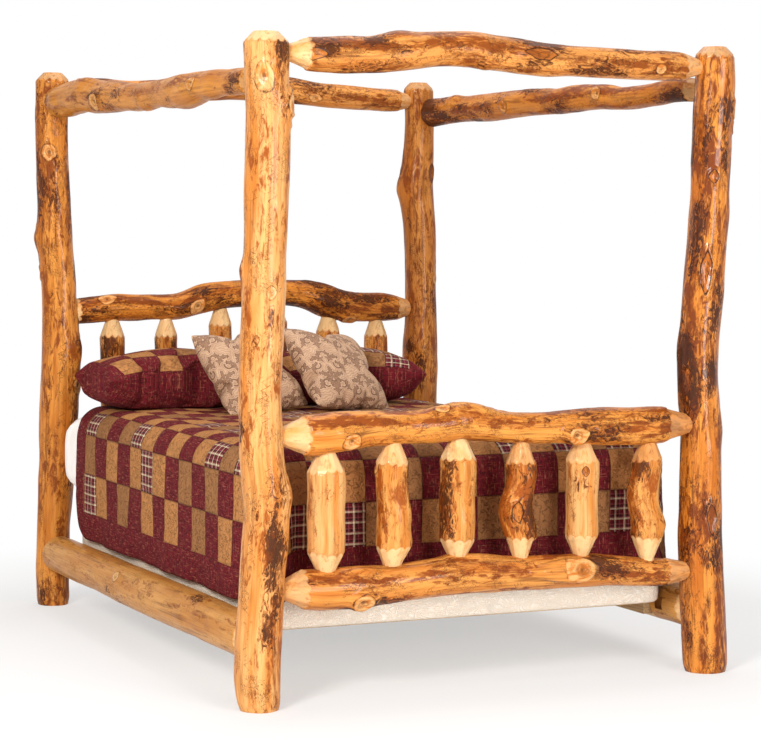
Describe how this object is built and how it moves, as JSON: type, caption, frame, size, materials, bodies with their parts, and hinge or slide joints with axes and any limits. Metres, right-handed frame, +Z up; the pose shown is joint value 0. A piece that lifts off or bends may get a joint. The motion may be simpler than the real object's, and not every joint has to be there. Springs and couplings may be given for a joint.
{
  "type": "log bed",
  "caption": "Queen-size four-post canopy bed of crooked peeled logs with mortised cone tenons, made up with box spring, mattress, patchwork quilt and pillows.",
  "frame": {"origin": "on the floor, midway between the four posts' axes", "axes": "+Z up, +Y from the foot towards the head, +X to the right of someone who looks from the foot towards the head"},
  "size_m": [1.8528, 2.4447, 2.1988],
  "materials": {
    "peeled_log": "peeled aspen under a glossy clear coat, honey to dark brown",
    "planed_wood": "planed softwood, bare",
    "steel": "zinc-plated steel, dull",
    "ticking": "cream quilted ticking",
    "mattress_sheet": "plain white cotton sheet",
    "quilt_patchwork": "quilted cotton patchwork in burgundy, tan and cream",
    "sham_patchwork": "quilted cotton patchwork with a burgundy border",
    "damask": "taupe upholstery cloth with a brown scrolled damask"
  },
  "bodies": {
    "bed": {"post_foot_left": "peeled_log", "post_foot_right": "peeled_log", "post_head_left": "peeled_log", "post_head_right": "peeled_log", "canopy_rail_foot": "peeled_log", "canopy_rail_head": "peeled_log", "canopy_rail_left": "peeled_log", "canopy_rail_right": "peeled_log", "headboard_top_log": "peeled_log", "headboard_bottom_log": "peeled_log", "headboard_spindle_1": "peeled_log", "headboard_spindle_2": "peeled_log", "headboard_spindle_3": "peeled_log", "headboard_spindle_4": "peeled_log", "headboard_spindle_5": "peeled_log", "headboard_spindle_6": "peeled_log", "footboard_top_log": "peeled_log", "footboard_bottom_log": "peeled_log", "footboard_spindle_1": "peeled_log", "footboard_spindle_2": "peeled_log", "footboard_spindle_3": "peeled_log", "footboard_spindle_4": "peeled_log", "footboard_spindle_5": "peeled_log", "footboard_spindle_6": "peeled_log", "side_rail_left": "peeled_log", "side_rail_right": "peeled_log", "slat_ledger_left": "planed_wood", "slat_ledger_right": "planed_wood", "slat_1": "planed_wood", "slat_2": "planed_wood", "slat_3": "planed_wood", "slat_4": "planed_wood", "slat_5": "planed_wood", "ledger_screws": "steel", "slat_screws": "steel", "side_rail_bolts": "steel", "side_rail_washers": "steel", "side_rail_nuts": "steel", "canopy_lag_screws": "steel", "headboard_lag_screws": "steel", "footboard_lag_screws": "steel", "box_spring": "ticking", "mattress": "mattress_sheet", "quilt": "quilt_patchwork"},
    "sham_right": {"pillow_sham_right": "sham_patchwork"},
    "sham_left": {"pillow_sham_left": "sham_patchwork"},
    "throw_left": {"throw_pillow_left": "damask"},
    "throw_right": {"throw_pillow_right": "damask"}
  },
  "joints": [
    {"name": "sham_right_lift", "type": "slide", "parent": "bed", "child": "sham_right", "axis": [0, -0.5, 0.866], "range_m": [0, 0.25]},
    {"name": "sham_left_lift", "type": "slide", "parent": "sham_right", "child": "sham_left", "axis": [0, -0.5, 0.866], "range_m": [0, 0.25]},
    {"name": "throw_left_lift", "type": "slide", "parent": "sham_left", "child": "throw_left", "axis": [0, -0.5, 0.866], "range_m": [0, 0.2]},
    {"name": "throw_right_lift", "type": "slide", "parent": "throw_left", "child": "throw_right", "axis": [0, -0.5, 0.866], "range_m": [0, 0.2]}
  ]
}
